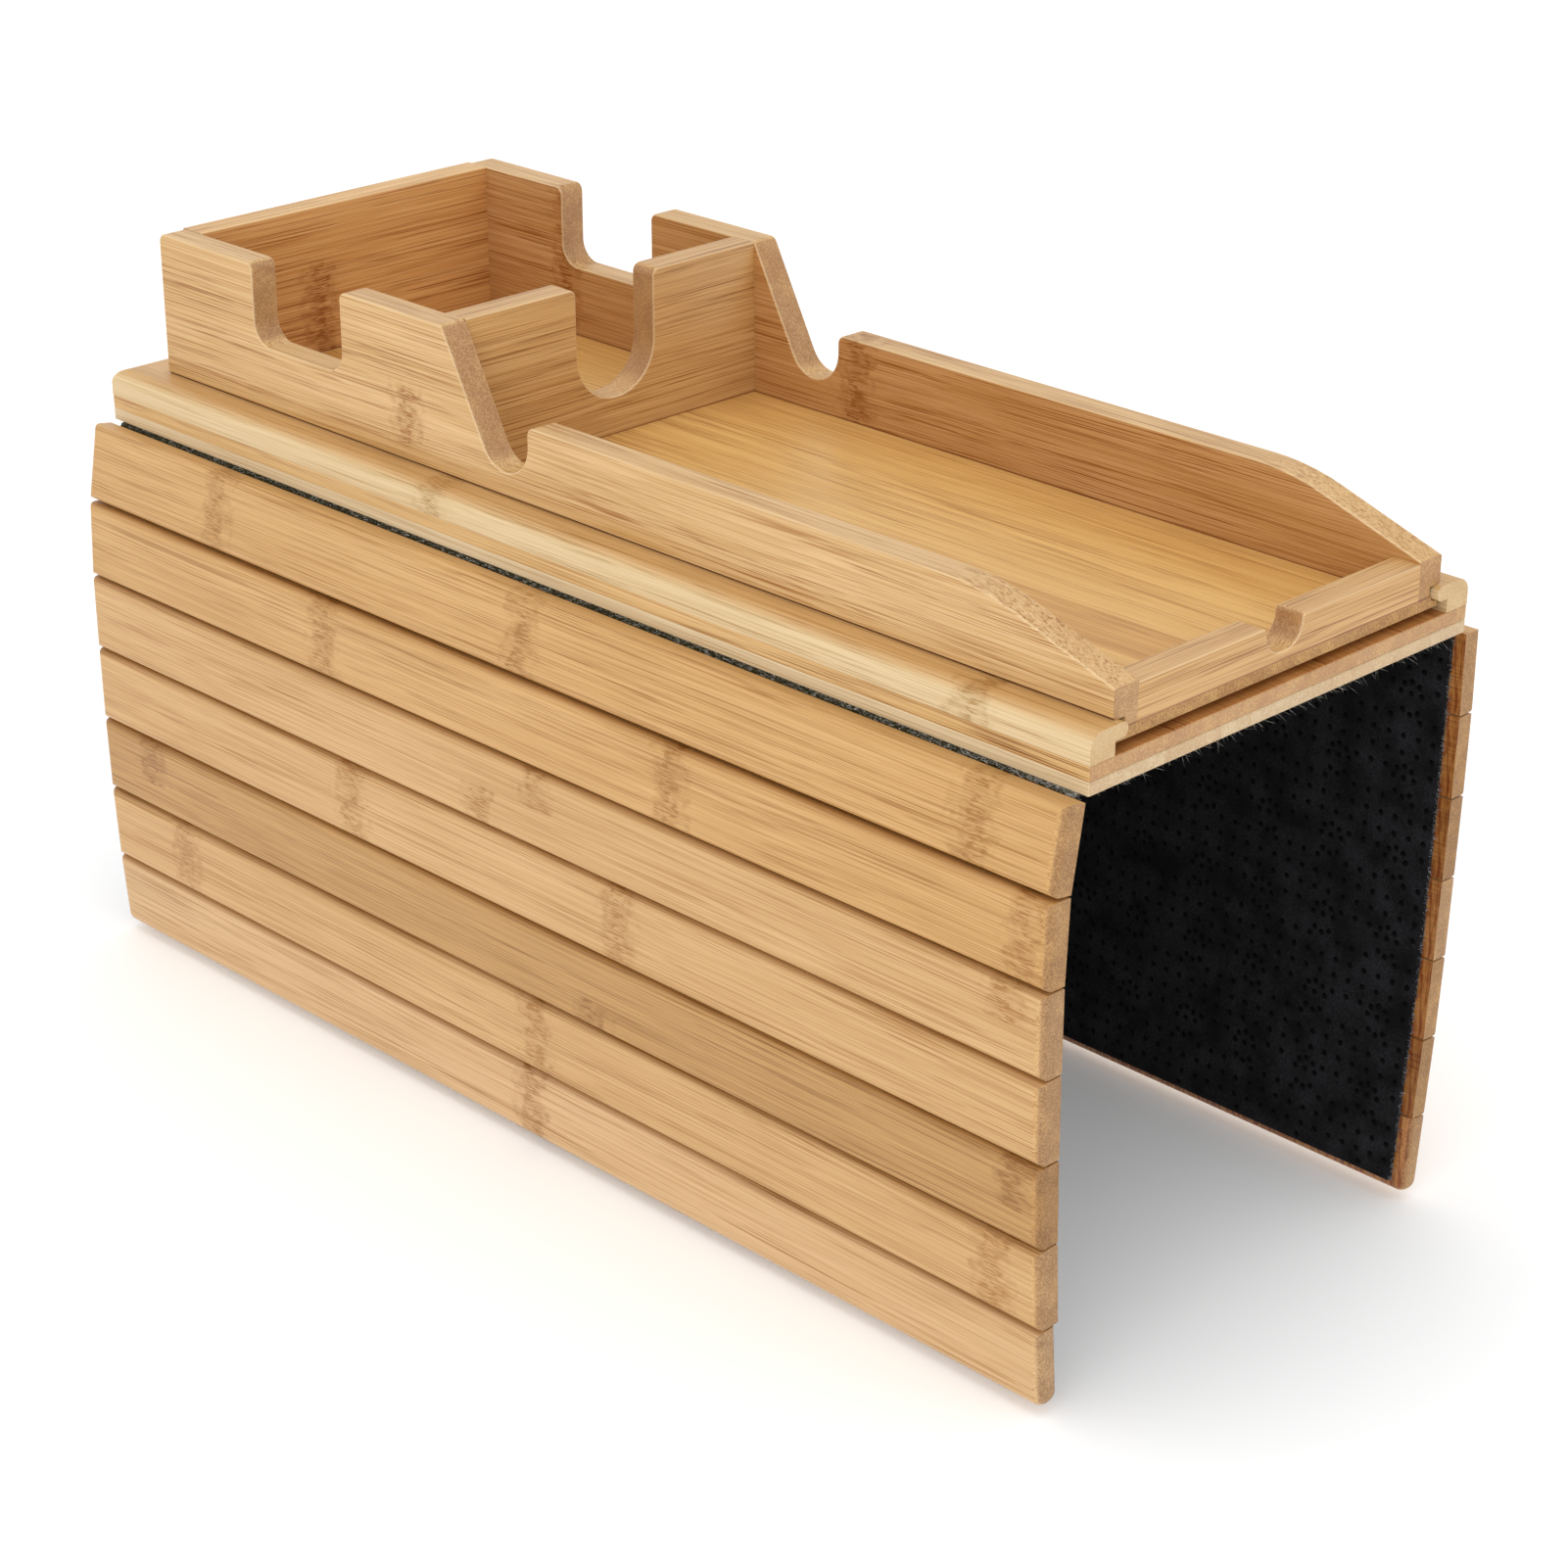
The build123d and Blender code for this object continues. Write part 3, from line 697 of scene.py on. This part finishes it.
def dot_places(length):
    """Places of the dots as (along the stations, y)."""
    flowers = [
        (u * flower_step, felt_front + (v + 0.5) * flower_step)
        for u in range(int(length / flower_step) + 2) for v in range(int(felt_width / flower_step))
    ]
    places = []
    for along, y in flowers:
        places.append((along, y))
        for petal in range(flower_petals):
            turn = math.radians(360 / flower_petals * petal)
            places.append((along + flower_radius * math.cos(turn), y + flower_radius * math.sin(turn)))
    for row in range(int(length / dot_step) + 1):
        for column in range(int(felt_width / dot_step)):
            place = (row * dot_step, felt_front + (column + 0.5) * dot_step)
            if min(math.dist(place, flower) for flower in flowers) > flower_radius + flower_clearance:
                places.append(place)
    return [place for place in places if felt_front + felt_edge_margin < place[1] < felt_rear - felt_edge_margin]


def dotted_strip(name, start, direction, normal, length):
    """Rubber dots on the inner face of a straight strip of the sheet."""
    mesh = bmesh.new()
    side = normal.cross(direction)
    for along, y in dot_places(length):
        if dot_margin < along < length - dot_margin:
            centre = start + direction * along + Vector((0, y, 0)) - normal * felt_thickness
            rim = [
                mesh.verts.new(centre + (direction * math.cos(turn) + side * math.sin(turn)) * dot_radius)
                for turn in [math.radians(60 * corner) for corner in range(6)]
            ]
            top = mesh.verts.new(centre - normal * dot_height)
            for a, b in zip(rim, rim[1:] + rim[:1]):
                mesh.faces.new((a, b, top))
            mesh.faces.new(rim[::-1])
    bmesh.ops.recalc_face_normals(mesh, faces=mesh.faces)
    piece = soft_part(name, mesh, dot_rubber)
    return piece


# Loose fibres: polyester fibres that fray out of the felt's cut edges and lie on the fold beside the base.
# They are 0.02 mm thick in truth and are drawn 0.12 mm thick so that they show.
fibre_radius = 0.06 * mm
fibres_per_mm = 4.0
fibre_shortest, fibre_longest = 0.6 * mm, 1.8 * mm
base_fibre_longest = 5.0 * mm
fibre_root = 0.3 * mm
fibre_depths = (0.05, 0.95)
# How far a fibre may lean along the edge, lean across it and bend, as shares of its length
fibre_slant, fibre_lift, fibre_bend = 1.2, 0.7, 0.35
# Fuzz lies on the fold, thicker towards the front, where the sheet is handled
fuzz_per_mm = 1.5
fuzz_shortest, fuzz_longest = 0.5 * mm, 1.4 * mm
fuzz_slant, fuzz_forward, fuzz_rise = 0.3, 1.6, 0.6


def loose_fibres():
    """Loose polyester fibres: dry grey, and paler beside the base."""
    material, tree = start_material("Polyester fibres, frayed")
    place = add(tree, "ShaderNodeTexCoord").outputs["Object"]
    share = add(tree, "ShaderNodeTexNoise", {"Scale": 1 / (1.5 * mm), "Detail": 2.0}, {"Vector": place}).outputs[0]
    share = add(tree, "ShaderNodeMapRange", {"From Min": 0.35, "From Max": 0.65}, {0: share}).outputs[0]
    level = add(tree, "ShaderNodeSeparateXYZ", links={0: place}).outputs[2]
    beside_base = add(tree, "ShaderNodeMapRange", {"From Min": fold_tint_low, "From Max": fold_tint_high}, {0: level}).outputs[0]
    grey = add(tree, "ShaderNodeMix", {**colour_mix, 6: linear("#4A4A4C"), 7: linear("#B2B2B6")}, {
        "Factor": share}).outputs[2]
    pale = add(tree, "ShaderNodeMix", {**colour_mix, 6: linear("#625F52"), 7: linear("#C6C4BC")}, {
        "Factor": share}).outputs[2]
    colour = add(tree, "ShaderNodeMix", colour_mix, {"Factor": beside_base, 6: grey, 7: pale}).outputs[2]
    surface = add(tree, "ShaderNodeBsdfPrincipled", {"Roughness": 0.8, "IOR": 1.5}, {"Base Color": colour})
    add(tree, "ShaderNodeOutputMaterial", links={0: surface.outputs[0]})
    return material


fibre_grey = loose_fibres()


def add_fibre(mesh, rng, root, direction, length):
    """One bent, tapering fibre with a three-sided section."""
    sideways = direction.orthogonal().normalized()
    upright = direction.cross(sideways)
    bend = (sideways * rng.uniform(-1, 1) + upright * rng.uniform(-1, 1)) * length * fibre_bend
    rings = []
    for share, width in ((0.0, 1.0), (0.55, 0.8)):
        middle = root + direction * length * share + bend * share * share
        rings.append([
            mesh.verts.new(middle + (sideways * math.cos(turn) + upright * math.sin(turn)) * fibre_radius * width)
            for turn in (0.0, math.radians(120), math.radians(240))
        ])
    tip = mesh.verts.new(root + direction * length + bend)
    first, second = rings
    mesh.faces.new(first[::-1])
    for i in range(3):
        j = (i + 1) % 3
        mesh.faces.new((first[i], first[j], second[j], second[i]))
        mesh.faces.new((second[i], second[j], tip))


def frayed_edges(name, stations, seed, longest=fibre_longest, end_frays=False, top_fuzz=False):
    """Loose fibres on the front and rear cut edges, on a free end, and over the fold beside the base."""
    rng = random.Random(seed)
    mesh = bmesh.new()
    for (a, normal_a), (b, normal_b) in zip(stations, stations[1:]):
        span = b - a
        for edge, outward in ((felt_front, -1), (felt_rear, 1)):
            for _ in range(max(1, round(span.length / mm * fibres_per_mm))):
                share = rng.random()
                depth = rng.uniform(*fibre_depths) * felt_thickness
                normal = (normal_a * (1 - share) + normal_b * share).normalized()
                root = a + span * share - normal * depth + Vector((0, edge - outward * fibre_root, 0))
                lean = span.normalized() * rng.uniform(-fibre_slant, fibre_slant)
                lean += normal * rng.uniform(-fibre_lift, fibre_lift)
                direction = (Vector((0, outward, 0)) + lean).normalized()
                add_fibre(mesh, rng, root, direction, rng.uniform(fibre_shortest, longest))
        # Only the short spans of the rounded corner carry fuzz
        if top_fuzz and span.length < corner_radius / 2:
            for _ in range(round(felt_width / mm * fuzz_per_mm)):
                share = rng.random()
                y = felt_front + felt_width * rng.random() ** fuzz_forward
                normal = (normal_a * (1 - share) + normal_b * share).normalized()
                lean = Vector((0, rng.choice((-1, 1)), 0))
                lean += span.normalized() * rng.uniform(-fuzz_slant, fuzz_slant)
                root = a + span * share + Vector((0, y, 0)) + normal * fibre_radius * fuzz_rise
                add_fibre(mesh, rng, root, lean.normalized(), rng.uniform(fuzz_shortest, fuzz_longest))
    if end_frays:
        place, normal = stations[-1]
        down = (place - stations[-2][0]).normalized()
        for _ in range(round(felt_width / mm * fibres_per_mm)):
            root = place - normal * rng.uniform(*fibre_depths) * felt_thickness - down * fibre_root
            root.y = rng.uniform(felt_front, felt_rear)
            lean = Vector((0, rng.uniform(-fibre_slant, fibre_slant), 0))
            lean += normal * rng.uniform(-fibre_lift, fibre_lift)
            add_fibre(mesh, rng, root, (down + lean).normalized(), rng.uniform(fibre_shortest, longest))
    bmesh.ops.recalc_face_normals(mesh, faces=mesh.faces)
    piece = soft_part(name, mesh, fibre_grey)
    return piece


# The sheet is built in fifteen pieces that meet behind the middles of the slats: one over each fold,
# which bends across that fold's hinge, and one under the base.
right_seed, fray_seed, base_seed = 20, 100, 60
for side in ("left", "right"):
    for number in range(1, 8):
        name = side + "_" + str(number)
        seed = number + (right_seed if side == "right" else 0)
        pivot, downward, normal = slat_frames[name]
        stations = fold_stations(side, number)
        piece = felt_piece("felt_fold_" + name, stations, seed)
        fray = frayed_edges(
            "felt_fray_" + name, stations, fray_seed + seed, end_frays=number == 7, top_fuzz=number == 1)
        length = slat_reach if number < 7 else slat_reach - felt_tail_margin
        dots = dotted_strip("felt_dots_" + name, pivot, downward, normal, length)
        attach(dots, "flap_" + name)
        for soft in (piece, fray):
            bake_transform(soft)
        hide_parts("felt_" + name)

base_edge = abs(hinges["flap_left_1"].x) - base_overlap
base_spans = 14
base_stations = [
    (Vector((base_edge * (-1 + 2 * step / base_spans), 0, felt_thickness)), upwards)
    for step in range(base_spans + 1)
]
base_felt = felt_piece("felt_under_base", base_stations, base_seed)
base_fray = frayed_edges("felt_fray_base", base_stations, fray_seed + base_seed, longest=base_fibre_longest)
base_dots = dotted_strip("felt_dots_base", base_stations[0][0], across_tray, upwards, 2 * base_edge)
for piece in (base_felt, base_fray, base_dots):
    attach(piece, "base")
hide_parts("felt_base")

# Studio: a plain floor of matt white paper under the hanging flaps, and a pale surround. Three soft boxes
# stand to the upper left, in front and overhead, so that the shadows are soft.
floor_drop = 2.5 * mm
floor_half = 8.0
floor_mesh = bmesh.new()
floor_mesh.faces.new([
    floor_mesh.verts.new((x * floor_half, y * floor_half, cad_low.z - floor_drop))
    for x, y in ((-1, -1), (1, -1), (1, 1), (-1, 1))
])
floor_data = bpy.data.meshes.new("studio_floor")
floor_mesh.to_mesh(floor_data)
floor_mesh.free()
floor = bpy.data.objects.new("studio_floor", floor_data)
bpy.context.scene.collection.objects.link(floor)
paper, paper_tree = start_material("Paper backdrop, matt white")
# Matt paper with a faint glow, which keeps the ground under the object as white as round it
sheet = add(paper_tree, "ShaderNodeBsdfPrincipled", {
    "Base Color": linear("#FCFCFC"), "Roughness": 0.9,
    "Emission Color": linear("#FFFFFF"), "Emission Strength": 0.12,
})
add(paper_tree, "ShaderNodeOutputMaterial", links={0: sheet.outputs[0]})
floor_data.materials.append(paper)


def soft_light(name, place, target, size, power):
    """Square soft box that faces the target."""
    lamp = bpy.data.lights.new(name, "AREA")
    lamp.shape = "SQUARE"
    lamp.size = size
    lamp.energy = power
    holder = bpy.data.objects.new(name, lamp)
    bpy.context.scene.collection.objects.link(holder)
    holder.location = place
    holder.rotation_mode = "QUATERNION"
    holder.rotation_quaternion = (Vector(target) - Vector(place)).to_track_quat("-Z", "Y")


soft_light("key_softbox", (-2.0, -0.9, 0.7), (0, 0, -0.02), 1.2, 9)
soft_light("front_softbox", (0.3, -2.2, 0.5), (0, 0, -0.02), 1.2, 3)
soft_light("top_softbox", (-0.3, 0.1, 2.2), (0, 0, 0), 1.4, 8)

world = bpy.data.worlds.new("Pale surround")
bpy.context.scene.world = world
world.use_nodes = True
surround = world.node_tree.nodes["Background"].inputs
surround["Color"].default_value = linear("#FFFFFF")
surround["Strength"].default_value = 0.93
bpy.context.scene.view_settings.view_transform = "Standard"

# Camera: at the photograph's place, level, looking down over the front left corner of the tray. The focal
# length was fitted in the photograph's own pixels.
sensor_width = 36.0
focal_pixels = 3704.0
picture_pixels = 1601
eye = Vector((-647.8, -675.7, 342.0)) * mm
backward = Vector((-0.6402, -0.6497, 0.4099))
camera_data = bpy.data.cameras.new("camera")
camera_data.sensor_width = sensor_width
camera_data.lens = focal_pixels * sensor_width / picture_pixels
camera_data.clip_start = 0.01
camera = bpy.data.objects.new("camera", camera_data)
bpy.context.scene.collection.objects.link(camera)
camera.location = eye
camera.rotation_mode = "QUATERNION"
camera.rotation_quaternion = (-backward).to_track_quat("-Z", "Y")
bpy.context.scene.camera = camera
